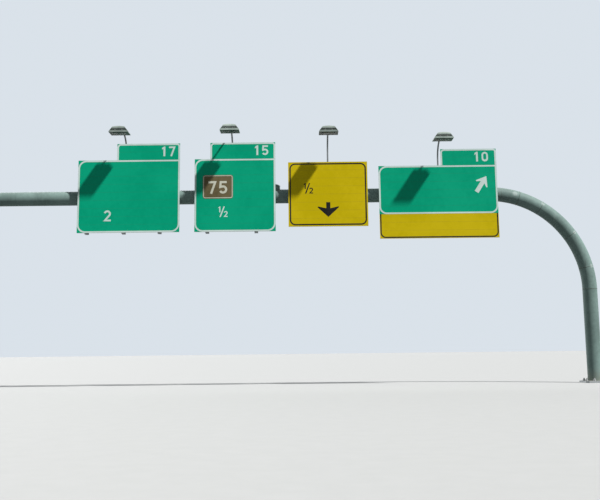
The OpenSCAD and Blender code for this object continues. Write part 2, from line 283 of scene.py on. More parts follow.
def saddle_path(x, radius, step):
    """Path where an upright round foot meets the top of the beam."""
    n = 2 * round(math.pi * radius / step)
    out = []
    for i in range(n):
        a = 2 * math.pi * i / n
        y = radius * math.sin(a)
        z = beam_z + math.sqrt(tube_r ** 2 - y ** 2)
        outward = Vector((math.cos(a), math.sin(a), 1)).normalized()
        out.append((Vector((x + radius * math.cos(a), y, z)), outward))
    return out


def bolt_head(across, high):
    """Hexagon head with a turned chamfer on top and a washer under it."""
    r = across / math.sqrt(3)
    washer_r, washer_t = 1.15 * r, 0.14 * high
    form = turned([(0, 0), (washer_r, 0), (washer_r, washer_t), (0, washer_t)], 20)
    head = [(0, 0.1 * high), (r, 0.1 * high), (r, 0.85 * high), (0.86 * r, high), (0, high)]
    return form.add(turned(head, 6))


def round_screw(radius, high):
    """Low domed screw head."""
    dome = [(radius * math.cos(t), high * math.sin(t))
            for t in [math.radians(a) for a in (0, 25, 50, 75)]]
    return turned([(0, 0)] + dome + [(0, high)], 14)


SMOOTH_ANGLE = math.radians(35)


def piece(name, form, material):
    """Makes an object of a form, gives it its finish and lets it ride on the frame."""
    mesh = bpy.data.meshes.new(name)
    mesh.from_pydata([tuple(p) for p in form.points], [], form.faces)
    work = bmesh.new()
    work.from_mesh(mesh)
    bmesh.ops.recalc_face_normals(work, faces=work.faces)
    work.to_mesh(mesh)
    work.free()
    mesh.shade_smooth()
    mesh.set_sharp_from_angle(angle=SMOOTH_ANGLE)
    mesh.materials.append(material)
    made = bpy.data.objects.new(name, mesh)
    bpy.context.scene.collection.objects.link(made)
    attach(made, "root")


# Shader tools

class Nodes:
    """Short calls that make and join shader nodes in one tree."""

    def __init__(self, tree):
        self.tree = tree

    def put(self, kind, **settings):
        node = self.tree.nodes.new("ShaderNode" + kind)
        for key, value in settings.items():
            setattr(node, key, value)
        return node

    def feed(self, socket, source):
        if isinstance(source, bpy.types.NodeSocket):
            self.tree.links.new(source, socket)
        elif isinstance(source, tuple) and len(source) == 3 and socket.type == "RGBA":
            socket.default_value = (*source, 1.0)
        else:
            socket.default_value = source

    def math(self, how, a, b=0.0, clamp=False):
        node = self.put("Math", operation=how, use_clamp=clamp)
        self.feed(node.inputs[0], a)
        self.feed(node.inputs[1], b)
        return node.outputs[0]

    def plus(self, a, b):
        return self.math("ADD", a, b)

    def minus(self, a, b):
        return self.math("SUBTRACT", a, b)

    def times(self, a, b):
        return self.math("MULTIPLY", a, b)

    def spread(self, value, low, high, to_low=0.0, to_high=1.0):
        """Smooth step from low to high."""
        node = self.put("MapRange", interpolation_type="SMOOTHSTEP")
        for socket, source in zip(node.inputs, (value, low, high, to_low, to_high)):
            self.feed(socket, source)
        return node.outputs[0]

    def mix(self, share, a, b):
        node = self.put("Mix", data_type="RGBA")
        self.feed(node.inputs[0], share)
        self.feed(node.inputs[6], a)
        self.feed(node.inputs[7], b)
        return node.outputs[2]

    def join(self, how, a, b=(0, 0, 0)):
        """Vector result of two vectors, or the number that a length or dot product gives."""
        node = self.put("VectorMath", operation=how)
        self.feed(node.inputs[0], a)
        self.feed(node.inputs[1], b)
        return node.outputs["Value" if how in ("LENGTH", "DOT_PRODUCT") else "Vector"]

    def parts(self, vector):
        node = self.put("SeparateXYZ")
        self.feed(node.inputs[0], vector)
        return node.outputs[0], node.outputs[1], node.outputs[2]

    def vector(self, x, y, z):
        node = self.put("CombineXYZ")
        for socket, source in zip(node.inputs, (x, y, z)):
            self.feed(socket, source)
        return node.outputs[0]

    def noise(self, place, scale, detail=3.0, rough=0.55, warp=0.0, output="Fac"):
        node = self.put("TexNoise")
        sources = {"Vector": place, "Scale": scale, "Detail": detail, "Roughness": rough,
                   "Distortion": warp}
        for label, source in sources.items():
            self.feed(node.inputs[label], source)
        return node.outputs[output]

    def bump(self, height, strength, distance):
        node = self.put("Bump")
        for label, source in (("Height", height), ("Strength", strength), ("Distance", distance)):
            self.feed(node.inputs[label], source)
        return node.outputs[0]


def new_group(name, sources, results):
    """Empty node group that reads a place: sources are (name, kind, value) rows, results (name, kind)."""
    group = bpy.data.node_groups.new(name, "ShaderNodeTree")
    for label, kind, value in [("Place", "Vector", None)] + sources:
        socket = group.interface.new_socket(label, in_out="INPUT", socket_type="NodeSocket" + kind)
        if value is not None:
            socket.default_value = value
    for label, kind in results:
        group.interface.new_socket(label, in_out="OUTPUT", socket_type="NodeSocket" + kind)
    tools = Nodes(group)
    entry = group.nodes.new("NodeGroupInput")
    leave = group.nodes.new("NodeGroupOutput")
    return group, tools, entry.outputs, leave.inputs


def rain_streaks_group():
    """Streaks that rain draws down a wall: they change fast sideways and slowly downwards."""
    group, t, source, result = new_group(
        "rain streaks",
        [("Fineness", "Float", 9.0), ("Drop", "Float", 0.05), ("Share", "Float", 0.4)],
        [("Mask", "Float")])
    x, y, z = t.parts(source["Place"])
    drop = t.times(z, source["Drop"])
    depth = t.times(y, t.spread(z, 3.5, 6.4, 1.0, 0.12))
    across = t.noise(t.vector(x, depth, drop), source["Fineness"], detail=5.0, rough=0.62)
    broken = t.noise(source["Place"], 2.3, rough=0.5)
    edge = t.minus(0.78, t.times(source["Share"], 0.42))
    streak = t.spread(across, edge, t.plus(edge, 0.16))
    t.feed(result["Mask"], t.times(streak, t.spread(broken, 0.3, 0.62)))
    return group


def blotches_group():
    """Soft patches at two sizes, for colour that isn't even: a tone from -1 to 1, a share from 0 to 1."""
    group, t, source, result = new_group(
        "blotches", [("Size", "Float", 1.4)], [("Tone", "Float"), ("Share", "Float")])
    wide = t.noise(source["Place"], source["Size"], rough=0.5, warp=0.3)
    small = t.noise(source["Place"], t.times(source["Size"], 9.0), detail=4.0, rough=0.6)
    both = t.plus(t.times(wide, 0.65), t.times(small, 0.35))
    tone = t.spread(both, 0.3, 0.7, -1.0, 1.0)
    t.feed(result["Tone"], tone)
    t.feed(result["Share"], t.spread(tone, -1.0, 1.0))
    return group


def settled_dust_group():
    """Dust on what faces up, thicker in hollows of its own noise."""
    group, t, source, result = new_group(
        "settled dust", [("Facing", "Vector", None), ("Amount", "Float", 0.6)], [("Mask", "Float")])
    _, _, up = t.parts(source["Facing"])
    level = t.spread(up, 0.35, 0.95)
    uneven = t.spread(t.noise(source["Place"], 14.0, detail=5.0, rough=0.6), 0.25, 0.7, 0.45, 1.0)
    t.feed(result["Mask"], t.times(t.times(level, uneven), source["Amount"]))
    return group


def ground_splash_group():
    """Dirt thrown up from the ground, fading out with height."""
    group, t, source, result = new_group(
        "ground splash", [("Height", "Float", 1.1)], [("Mask", "Float")])
    _, _, z = t.parts(source["Place"])
    rise = t.math("DIVIDE", z, source["Height"])
    ragged = t.plus(rise, t.times(t.noise(source["Place"], 5.0, detail=5.0, rough=0.65), 0.7))
    t.feed(result["Mask"], t.spread(ragged, 1.15, 0.3))
    return group


def rust_bloom_group():
    """Rust spots with a fine broken edge, and a shade that changes inside them."""
    group, t, source, result = new_group(
        "rust bloom",
        [("Size", "Float", 8.0), ("Share", "Float", 0.2)],
        [("Mask", "Float"), ("Shade", "Float")])
    spots = t.noise(source["Place"], source["Size"], detail=6.0, rough=0.68, warp=0.4)
    edge = t.minus(0.86, t.times(source["Share"], 0.4))
    t.feed(result["Mask"], t.spread(spots, edge, t.plus(edge, 0.06)))
    t.feed(result["Shade"], t.noise(source["Place"], 40.0, rough=0.6))
    return group


def zinc_spangle_group():
    """Crystal patches of hot-dip zinc: a tone for each, and worn-down fine grain."""
    group, t, source, result = new_group(
        "zinc spangle", [("Size", "Float", 60.0)], [("Tone", "Float"), ("Height", "Float")])
    drift = t.noise(source["Place"], source["Size"], detail=2.0, rough=0.5, output="Color")
    warped = t.join("ADD", source["Place"], t.join("MULTIPLY", drift, (0.012, 0.012, 0.012)))
    crystals = t.put("TexVoronoi")
    t.feed(crystals.inputs["Vector"], warped)
    t.feed(crystals.inputs["Scale"], source["Size"])
    tone, _, _ = t.parts(crystals.outputs["Color"])
    t.feed(result["Tone"], tone)
    t.feed(result["Height"], t.noise(source["Place"], 180.0, rough=0.6))
    return group


def plank_seams_group():
    """Thin level lines where the planks of a sign panel meet."""
    group, t, source, result = new_group(
        "plank seams",
        [("Bottom", "Float", 0.0), ("Pitch", "Float", 0.3)],
        [("Line", "Float"), ("Grime", "Float")])
    _, _, z = t.parts(source["Place"])
    planks = t.math("DIVIDE", t.minus(z, source["Bottom"]), source["Pitch"])
    nearest = t.math("ABSOLUTE", t.minus(planks, t.math("ROUND", planks)))
    gap = t.times(nearest, source["Pitch"])
    broken = t.spread(t.noise(source["Place"], 7.0, detail=4.0), 0.35, 0.7)
    t.feed(result["Line"], t.spread(gap, 0.0035, 0.0012))
    t.feed(result["Grime"], t.times(t.spread(gap, 0.03, 0.0), broken))
    return group


def drawn_lines_group():
    """Fine lines along x that an extrusion die leaves in aluminium."""
    group, t, source, result = new_group("drawn lines", [], [("Tone", "Float")])
    stretched = t.join("MULTIPLY", source["Place"], (0.4, 60.0, 60.0))
    t.feed(result["Tone"], t.noise(stretched, 2.2, detail=4.0, rough=0.6))
    return group


def seam_stain_group():
    """Ragged stain on both sides of a weld that lies in the plane through Middle, square to Axis."""
    group, t, source, result = new_group(
        "seam stain",
        [("Middle", "Vector", None), ("Axis", "Vector", None), ("Reach", "Float", 0.04)],
        [("Mask", "Float")])
    away = t.join("SUBTRACT", source["Place"], source["Middle"])
    near = t.math("ABSOLUTE", t.join("DOT_PRODUCT", away, source["Axis"]))
    ragged = t.times(t.noise(source["Place"], 11.0, detail=5.0, rough=0.65), source["Reach"])
    t.feed(result["Mask"], t.spread(t.plus(near, ragged), source["Reach"], 0.0))
    return group


def light_patch_group():
    """Lighter patch over one spot with a ragged edge; over the bends' welds it is a painted highlight."""
    group, t, source, result = new_group(
        "light patch",
        [("Middle", "Vector", None), ("Half size", "Vector", None)],
        [("Mask", "Float")])
    away = t.join("SUBTRACT", source["Place"], source["Middle"])
    share = t.join("LENGTH", t.join("DIVIDE", away, source["Half size"]))
    stretched = t.join("MULTIPLY", source["Place"], (1.0, 0.35, 0.35))
    ragged = t.times(t.noise(stretched, 34.0, detail=4.0, rough=0.6), 0.9)
    t.feed(result["Mask"], t.spread(t.plus(share, ragged), 1.5, 0.95))
    return group


streaks = rain_streaks_group()
blotches = blotches_group()
dust = settled_dust_group()
splash = ground_splash_group()
rust = rust_bloom_group()
spangle = zinc_spangle_group()
plank_lines = plank_seams_group()
drawn = drawn_lines_group()
seam_stain = seam_stain_group()
light_patch = light_patch_group()

# Colours

DUST = (0.42, 0.39, 0.33)
GRIME = (0.085, 0.085, 0.075)
MUD = (0.20, 0.18, 0.14)
RUST_DARK, RUST_LIGHT = (0.10, 0.035, 0.012), (0.30, 0.12, 0.035)
TUBE_PAINT = (0.188, 0.266, 0.242)
CHALK = (0.335, 0.41, 0.372)
PAINT_DUST = (0.305, 0.348, 0.312)
# Tint of the lighter patches on the bends, which over the welds are painted highlights
PATCH_AND_HIGHLIGHT_TINT = (0.34, 0.41, 0.385)
WELD_PAINT = (0.12, 0.15, 0.13)
WELD_STAIN = (0.075, 0.085, 0.065)
# The third tint, for the lamp arms, is darkened as painted shade
STEEL_TINT, BOLT_TINT, ARM_SHADE_TINT = (0.38, 0.40, 0.40), (0.36, 0.37, 0.37), (0.23, 0.25, 0.255)
BARE_DARK, BARE_LIGHT = (0.42, 0.43, 0.43), (0.60, 0.61, 0.60)
BARE_DULL, BARE_STAIN = (0.34, 0.34, 0.33), (0.20, 0.20, 0.19)
CAST_DULL, CAST_CLEAN = (0.30, 0.36, 0.325), (0.435, 0.505, 0.455)
# The second of these is painted shade for the lamps' undersides
CAST_STAIN, CAST_PAINTED_SHADE = (0.19, 0.18, 0.15), (0.06, 0.085, 0.075)
# Both glass tones are dark as painted shade on the lamps' undersides; the blotches between them are a
# film of dirt
GLASS_SHADED_CLEAN, GLASS_SHADED_FILM = (0.17, 0.22, 0.21), (0.07, 0.08, 0.07)
# The reflector's tint is kept dark as painted shade inside the lamp
REFLECTOR_SHADED_TINT, BULB_WHITE = (0.26, 0.28, 0.28), (0.85, 0.86, 0.84)
RUBBER_BLACK, RUBBER_GREY = (0.02, 0.02, 0.02), (0.07, 0.07, 0.065)
# Sheeting: its darker and lighter tone, and its stain
GREEN = ((0.000, 0.350, 0.187), (0.001, 0.394, 0.212), (0.01, 0.12, 0.075))
YELLOW = ((0.58, 0.445, 0.002), (0.65, 0.495, 0.004), (0.26, 0.18, 0.02))
WHITE = ((0.56, 0.68, 0.63), (0.68, 0.79, 0.74), (0.36, 0.42, 0.38))
BLACK = ((0.012, 0.012, 0.012), (0.035, 0.034, 0.03), (0.1, 0.09, 0.06))
BROWN = ((0.105, 0.085, 0.04), (0.17, 0.135, 0.07), (0.05, 0.04, 0.02))
CREAM = ((0.52, 0.52, 0.40), (0.66, 0.66, 0.54), (0.3, 0.28, 0.2))


def shaded(colour, factor):
    """The colour made lighter or darker."""
    return tuple(c * factor for c in colour)


# Finishes

class Finish(Nodes):
    """A material with a Principled shader, whose colour is built up in layers."""

    def __init__(self, name):
        self.material = bpy.data.materials.new(name)
        self.material.use_nodes = True
        super().__init__(self.material.node_tree)
        self.tree.nodes.clear()
        shader = self.put("BsdfPrincipled")
        self.feed(self.put("OutputMaterial").inputs[0], shader.outputs[0])
        self.shader = shader.inputs
        self.place = self.put("TexCoord").outputs["Object"]
        self.facing = self.put("NewGeometry").outputs["Normal"]
        self.colour = None

    def use(self, group, **sources):
        """Outputs of a node group that reads this material's place, and its facing if it asks."""
        node = self.put("Group", node_tree=group)
        sources["place"] = self.place
        if "Facing" in node.inputs:
            sources["facing"] = self.facing
        for key, source in sources.items():
            self.feed(node.inputs[key.replace("_", " ").capitalize()], source)
        return node.outputs

    def cover(self, mask, amount, tint):
        """Lays a tint over the colour where the mask is."""
        self.colour = self.mix(self.times(mask, amount), self.colour, tint)

    def streaked(self, tint, amount, **lines):
        """Rain streaks over the colour, with the inputs of their group. Gives back where they run."""
        mask = self.use(streaks, **lines)["Mask"]
        self.cover(mask, amount, tint)
        return mask

    def rusted(self, size, share):
        """Rust spots over the colour. Gives back where they lie."""
        bloom = self.use(rust, size=size, share=share)
        brown = self.mix(bloom["Shade"], RUST_DARK, RUST_LIGHT)
        self.colour = self.mix(bloom["Mask"], self.colour, brown)
        return bloom["Mask"]

    def dusted(self, amount, tint=DUST):
        """Dust on what faces up. Gives back where it lies."""
        mask = self.use(dust, amount=amount)["Mask"]
        self.colour = self.mix(mask, self.colour, tint)
        return mask

    def rough(self, start, *layers):
        """Roughness from a start, with an amount added where each (mask, amount) layer is."""
        total = start
        for mask, amount in layers:
            total = self.math("ADD", total, self.times(mask, amount), True)
        return total

    def done(self, rough, normal, specular=0.5):
        """Feeds the shader and gives back the material."""
        self.feed(self.shader["Base Color"], self.colour)
        self.feed(self.shader["Roughness"], rough)
        self.feed(self.shader["Specular IOR Level"], specular)
        self.feed(self.shader["Normal"], normal)
        return self.material


def frame_paint(name="frame paint", base=TUBE_PAINT, rust_share=0.25, seams=(), patches=()):
    """Old grey-green paint on the tube: chalked, streaked, with a few rust spots.

    seams are (middle, axis, strength) of welds that stain it, patches are (middle, half size) of
    lighter patches, which are painted highlights where they lie over welds.
    """
    f = Finish(name)
    tone = f.use(blotches, size=0.9)["Share"]
    f.colour = f.mix(tone, shaded(base, 0.82), shaded(base, 1.16))
    f.streaked(CHALK, 0.45, fineness=5.0, drop=0.03, share=0.5)
    f.streaked(GRIME, 0.42, fineness=13.0, drop=0.045, share=0.55)
    f.cover(f.use(splash, height=0.8)["Mask"], 0.55, MUD)
    for middle, axis, strength in seams:
        f.cover(f.use(seam_stain, middle=middle, axis=axis)["Mask"], strength, WELD_STAIN)
    # Lighter patches; those over the welds are painted highlights
    for middle, half_size in patches:
        f.cover(f.use(light_patch, middle=middle, half_size=half_size)["Mask"], 0.85, PATCH_AND_HIGHLIGHT_TINT)
    bloom = f.rusted(size=7.0, share=rust_share)
    settled = f.dusted(0.35, PAINT_DUST)
    rough = f.rough(0.46, (tone, 0.14), (settled, 0.3), (bloom, 0.25))
    peel = f.plus(f.noise(f.place, 260.0, detail=2.0, rough=0.5), f.times(bloom, 1.4))
    return f.done(rough, f.bump(peel, strength=0.35, distance=1.2 * MM), specular=0.1)


def zinc(name="galvanised steel", tint=STEEL_TINT, size=55.0, dull=0.55, sheen=0.5, marks=0.5):
    """Hot-dip zinc gone dull: spangle, white bloom and water marks."""
    f = Finish(name)
    crystal = f.use(spangle, size=size)
    f.colour = f.mix(crystal["Tone"], shaded(tint, 0.84), shaded(tint, 1.1))
    tone = f.use(blotches, size=2.2)["Tone"]
    f.cover(f.spread(tone, 0.0, 1.0), 0.55, shaded(tint, 1.28))
    f.streaked(shaded(tint, 0.38), marks, fineness=22.0, drop=0.08, share=0.5)
    bloom = f.rusted(size=10.0, share=0.12)
    dirt = f.math("MAXIMUM", f.dusted(0.5), bloom)
    f.feed(f.shader["Metallic"], f.times(f.minus(1.0, dirt), sheen))
    rough = f.rough(dull, (crystal["Tone"], 0.09), (dirt, 0.3))
    return f.done(rough, f.bump(crystal["Height"], strength=0.3, distance=0.6 * MM))


def sheeting(f, low, high, stain):
    """Weathered reflective sheeting: sets the colour and gives back the roughness."""
    tone = f.use(blotches, size=0.7)["Share"]
    f.colour = f.mix(tone, low, high)
    wash = f.streaked(stain, 0.22, fineness=6.0, drop=0.12, share=0.35)
    return f.rough(0.36, (tone, 0.16), (wash, 0.15))


def sign_panel(name, bottom, pitch, tones):
    """Sheeting on the face that looks along -Y, and bare drawn aluminium behind it."""
    f = Finish(name)
    face_rough = sheeting(f, *tones)
    seam = f.use(plank_lines, bottom=bottom, pitch=pitch)
    f.cover(seam["Grime"], 0.12, tones[2])
    f.cover(seam["Line"], 0.28, GRIME)
    face_colour = f.colour
    lines = f.use(drawn)["Tone"]
    f.colour = f.mix(lines, BARE_DARK, BARE_LIGHT)
    tone = f.use(blotches, size=1.6)["Tone"]
    f.cover(f.spread(tone, -0.2, 1.0), 0.5, BARE_DULL)
    f.streaked(BARE_STAIN, 0.45, fineness=9.0, drop=0.1, share=0.55)
    settled = f.dusted(0.7)
    _, toward, _ = f.parts(f.facing)
    _, depth, _ = f.parts(f.place)
    front = f.times(f.math("LESS_THAN", toward, -0.7), f.math("LESS_THAN", depth, face_y + 0.5 * MM))
    back = f.minus(1.0, front)
    f.colour = f.mix(front, f.colour, face_colour)
    f.feed(f.shader["Metallic"], f.times(back, f.minus(0.75, f.times(settled, 0.7))))
    bare_rough = f.plus(0.42, f.times(lines, 0.2))
    rough = f.plus(f.times(front, face_rough), f.times(back, bare_rough))
    relief = f.minus(f.times(lines, f.times(back, 0.5)), f.times(seam["Line"], front))
    return f.done(rough, f.bump(relief, strength=0.5, distance=1.5 * MM), specular=0.08)


def flat_sheeting(name, tones):
    """Cut sheeting of borders, figures and arrows."""
    f = Finish(name)
    rough = sheeting(f, *tones)
    grain = f.noise(f.place, 90.0, rough=0.5)
    return f.done(rough, f.bump(grain, strength=0.15, distance=0.8 * MM), specular=0.08)


def lamp_casting(name="lamp casting", shade=1.0):
    """Light grey paint on cast aluminium: orange peel, grime that runs down, dust on top, and painted
    shade on what faces down.
    """
    f = Finish(name)
    tone = f.use(blotches, size=5.0)["Share"]
    f.colour = f.mix(tone, shaded(CAST_DULL, shade), shaded(CAST_CLEAN, shade))
    wash = f.streaked(CAST_STAIN, 0.45, fineness=28.0, drop=0.15, share=0.5)
    settled = f.dusted(0.65, shaded(DUST, shade))
    _, _, up = f.parts(f.facing)
    # Painted shade: what faces down is darkened
    f.cover(f.spread(up, -0.6, -0.98), 0.85, CAST_PAINTED_SHADE)
    rough = f.rough(0.42, (settled, 0.35), (wash, 0.15))
    cast = f.plus(f.noise(f.place, 420.0, detail=2.0, rough=0.5), f.times(f.noise(f.place, 60.0), 0.6))
    return f.done(rough, f.bump(cast, strength=0.3, distance=0.8 * MM), specular=0.1)


def lamp_glass():
    """Ribbed glass with a film of dirt, both its tones kept dark as painted shade under the lamp."""
    rib_pitch = 14 * MM
    f = Finish("lamp glass")
    film = f.spread(f.use(blotches, size=6.0)["Tone"], -0.4, 1.0)
    f.colour = f.mix(film, GLASS_SHADED_CLEAN, GLASS_SHADED_FILM)
    f.feed(f.shader["Transmission Weight"], 0.6)
    f.feed(f.shader["IOR"], 1.46)
    x, _, _ = f.parts(f.place)
    ribs = f.math("SINE", f.times(x, 2 * math.pi / rib_pitch))
    rough = f.rough(0.2, (film, 0.35))
    return f.done(rough, f.bump(ribs, strength=0.6, distance=2 * MM), specular=0.03)


def plain_metal(name, base, metallic, rough, grain):
    """Small metal parts: blotched, with fine grain."""
    f = Finish(name)
    tone = f.use(blotches, size=14.0)["Share"]
    f.colour = f.mix(tone, shaded(base, 0.7), base)
    f.dusted(0.4)
    f.feed(f.shader["Metallic"], metallic)
    relief = f.bump(f.noise(f.place, grain), strength=0.25, distance=0.5 * MM)
    return f.done(f.rough(rough, (tone, 0.2)), relief)


def rubber():
    """Black gasket gone grey in the sun."""
    f = Finish("gasket rubber")
    tone = f.use(blotches, size=20.0)["Share"]
    f.colour = f.mix(tone, RUBBER_BLACK, RUBBER_GREY)
    pores = f.noise(f.place, 300.0, detail=2.0)
    relief = f.bump(pores, strength=0.3, distance=0.4 * MM)
    return f.done(f.rough(0.6, (tone, 0.25)), relief)


# Lighter patches and painted highlights on the bends

PATCH_UP = 0.14
PATCH_SUNK = 0.02
PATCH_HALF = (0.115, 0.14, 0.12)
HIGHLIGHT_OUT = 0.14
HIGHLIGHT_HALF = (0.085, 0.12, 0.085)


def seam_patch(side, number, back):
    """A lighter patch on the front of a bend, short of one of its seams."""
    middle, _, _ = bend_seams(side)[number]
    return (middle[0] - WAYS[side] * back, PATCH_SUNK - tube_r, middle[2] + PATCH_UP), PATCH_HALF


def seam_highlight(side, number):
    """Painted highlight over the weld, on the outer front of a bend, where light would catch the bead."""
    middle, axis, _ = bend_seams(side)[number]
    way = WAYS[side]
    front_y = -math.sqrt(tube_r ** 2 - HIGHLIGHT_OUT ** 2)
    x = middle[0] - way * axis[2] * HIGHLIGHT_OUT
    return (x, front_y, middle[2] + way * axis[0] * HIGHLIGHT_OUT), HIGHLIGHT_HALF


# Each bend's lighter patch, then its painted highlights over the welds
LIGHT_PATCHES_AND_HIGHLIGHTS = {
    "left": [seam_patch("left", 3, 0.2)] + [seam_highlight("left", n) for n in (1, 4)],
    "right": [seam_patch("right", 1, 0.135)] + [seam_highlight("right", n) for n in (2, 3, 4)],
}

# Materials of the pieces

WELD_RUST = 0.75
paint = frame_paint()
weld_paint = frame_paint("painted weld", WELD_PAINT, WELD_RUST)
bend_paints = {
    side: frame_paint(f"bend paint {side}", seams=bend_seams(side), patches=LIGHT_PATCHES_AND_HIGHLIGHTS[side])
    for side in WAYS
}
# The welds take the same patches, which over them are painted highlights
bend_weld_paints = {
    side: frame_paint(f"painted weld {side}", WELD_PAINT, WELD_RUST, patches=LIGHT_PATCHES_AND_HIGHLIGHTS[side])
    for side in WAYS
}
zinc_steel = zinc()
bolt_zinc = zinc("zinc on bolts", tint=BOLT_TINT, size=180.0, dull=0.52, sheen=0.6)
# Painted shade: the lamp arms' zinc is darker and less metallic, as if in shade
arm_shaded_zinc = zinc("arm zinc, painted shade", tint=ARM_SHADE_TINT, size=90.0, dull=0.6, sheen=0.2, marks=0.25)
white = flat_sheeting("white sheeting", WHITE)
black = flat_sheeting("black sheeting", BLACK)
brown = flat_sheeting("brown sheeting", BROWN)
cream = flat_sheeting("cream sheeting", CREAM)
# Lamps 1 and 3 take a darker copy of the same casting, its whole colour scaled by shade
lighter_casting = lamp_casting()
darker_casting = lamp_casting("darker lamp casting", shade=0.76)
glass = lamp_glass()
# Painted shade: the reflector is dimmed so the lamp's underside stays dark
reflector_metal = plain_metal("reflector", REFLECTOR_SHADED_TINT, metallic=0.9, rough=0.4, grain=30.0)
bulb_white = plain_metal("frosted bulb", BULB_WHITE, metallic=0.0, rough=0.35, grain=80.0)
gasket = rubber()

LAMP_CASTINGS = {1: darker_casting, 2: lighter_casting, 3: darker_casting, 4: lighter_casting}
SHEETING = {"green_sheet": GREEN, "yellow_sheet": YELLOW}
SLOT_FINISH = {"frame_paint": paint, "galvanised_steel": zinc_steel, "lamp_glass": glass}


def planks(node):
    """Bottom of a panel, and the pitch and number of its planks."""
    low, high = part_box(node)
    tall = high.z - low.z
    count = max(1, round(tall / PLANK_H))
    return low.z, (tall - RIB_T) / count, count


def node_finish(node, slot):
    """Finish of one CAD piece: its own, or its slot's."""
    words = node.split("_")
    if words[0] == "bend":
        return bend_paints[words[1]]
    if words[-1] == "arm":
        return arm_shaded_zinc
    if slot == "lamp_casting":
        return LAMP_CASTINGS[int(words[1])]
    if slot in SHEETING:
        bottom, pitch, _ = planks(node)
        return sign_panel(node + " sheeting", bottom, pitch, SHEETING[slot])
    return SLOT_FINISH[slot]


for part in frame["record"]["subparts"]:
    finish = node_finish(part["node"], part["material_slot"])
    nodes[part["node"]].material_slots[0].material = finish

# Borders, figures and arrows on the sign faces

SHEET = 1.5 * MM
EDGE = 3 * MM
BORDER = 56 * MM
CORNER = 0.29
SIGN_PANELS = {
    1: ("sign_1_panel", "sign_1_tab"),
    2: ("sign_2_panel", "sign_2_tab"),
    3: ("sign_3_panel",),
    4: ("sign_4_panel", "sign_4_low_panel", "sign_4_tab"),
}


def plates(shapes, y=face_y):
    """Cut sheeting from several outlines-with-holes in x and z, laid on the sign faces or at y."""
    form = Form()
    for outlines in shapes:
        form.add(prism(outlines, SHEET), stand((0, y, 0)))
    return form


def closed_border(low, high, inset, width, radii):
    """Outer and inner outline of a border inside a panel."""
    x0, z0, x1, z1 = low.x + inset, low.z + inset, high.x - inset, high.z - inset
    outer = rounded(x0, z0, x1, z1, radii)
    inner_radii = [max(0.0, r - width) for r in radii]
    return [outer, rounded(x0 + width, z0 + width, x1 - width, z1 - width, inner_radii)]


def open_border(low, high, inset, width, left_r, right_r, upside_down=False):
    """Border on three sides of a panel, open at its bottom, or at its top if upside down."""
    x0, x1 = low.x + inset, high.x - inset
    z0, z1 = low.z, high.z - inset
    left, right = (x0 + left_r, z1 - left_r), (x1 - right_r, z1 - right_r)
    outer = arc(*left, left_r, 180, 90, 10) + arc(*right, right_r, 90, 0, 10)
    inner = arc(*right, right_r - width, 0, 90, 10) + arc(*left, left_r - width, 90, 180, 10)
    line = [(x0, z0)] + outer + [(x1, z0), (x1 - width, z0)] + inner + [(x0 + width, z0)]
    if upside_down:
        line = [(x, low.z + high.z - z) for x, z in line]
    return [line]


for number, low_r in ((1, CORNER), (2, CORNER), (4, 0.26)):
    panel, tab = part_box(f"sign_{number}_panel"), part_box(f"sign_{number}_tab")
    border = closed_border(*panel, EDGE, BORDER, (low_r, low_r, 0.0, CORNER))
    piece(f"sign_{number}_border", plates([border]), white)
    tab_border = open_border(*tab, EDGE, BORDER, left_r=0.13, right_r=0.10)
    piece(f"sign_{number}_tab_border", plates([tab_border]), white)

yellow_panel, low_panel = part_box("sign_3_panel"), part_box("sign_4_low_panel")
yellow_border = closed_border(*yellow_panel, inset=45 * MM, width=50 * MM, radii=(0.2,) * 4)
piece("sign_3_border", plates([yellow_border]), black)
low_border = open_border(*low_panel, inset=20 * MM, width=45 * MM, left_r=0.19, right_r=0.19,
                         upside_down=True)
piece("sign_4_low_border", plates([low_border]), black)


def arrow(tip, turn, half_span, barb_back, notch_back, shaft, length, lip):
    """Arrow by its tip, its turn from straight up in degrees, and sizes measured back from the tip."""
    side = [(half_span, barb_back), (half_span - lip, barb_back + lip), (shaft / 2, notch_back),
            (shaft / 2, length)]
    line = [(0, 0)] + [(x, -d) for x, d in side] + [(-x, -d) for x, d in reversed(side)]
    a = math.radians(turn)
    return [(tip[0] + x * math.cos(a) + z * math.sin(a),
             tip[1] - x * math.sin(a) + z * math.cos(a)) for x, z in line]


s3_low, s3_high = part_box("sign_3_panel")
s4_low, s4_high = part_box("sign_4_panel")
down_arrow = arrow((s3_low.x + 1.427, s3_low.z + 0.339), 180, half_span=0.388, barb_back=0.358,
                   notch_back=0.315, shaft=0.147, length=0.534, lip=0.024)
piece("sign_3_arrow", plates([[down_arrow]]), black)
side_arrow = arrow((s4_high.x - 0.380, s4_high.z - 0.411), 33, half_span=0.240, barb_back=0.325,
                   notch_back=0.265, shaft=0.155, length=0.687, lip=0.03)
piece("sign_4_arrow", plates([[side_arrow]]), white)

# Plain figures in one weight of line, as outlines one unit high

LINE = 0.17
FIGURE_W = 0.64
BOWL_R = 0.32
ONE_W = 0.36


def line_outline(path):
    """Outline of a line of even width along a path."""
    left, right = [], []
    points = [Vector(p) for p in path]
    for i, p in enumerate(points):
        before = (p - points[i - 1]).normalized() if i else None
        after = (points[i + 1] - p).normalized() if i < len(points) - 1 else None
        along = ((before or after) + (after or before)).normalized()
        normal = Vector((-along.y, along.x))
        leaving = after or before
        reach = LINE / 2 / max(0.5, normal.dot(Vector((-leaving.y, leaving.x))))
        left.append(tuple(p + normal * reach))
        right.append(tuple(p - normal * reach))
    return left + right[::-1]


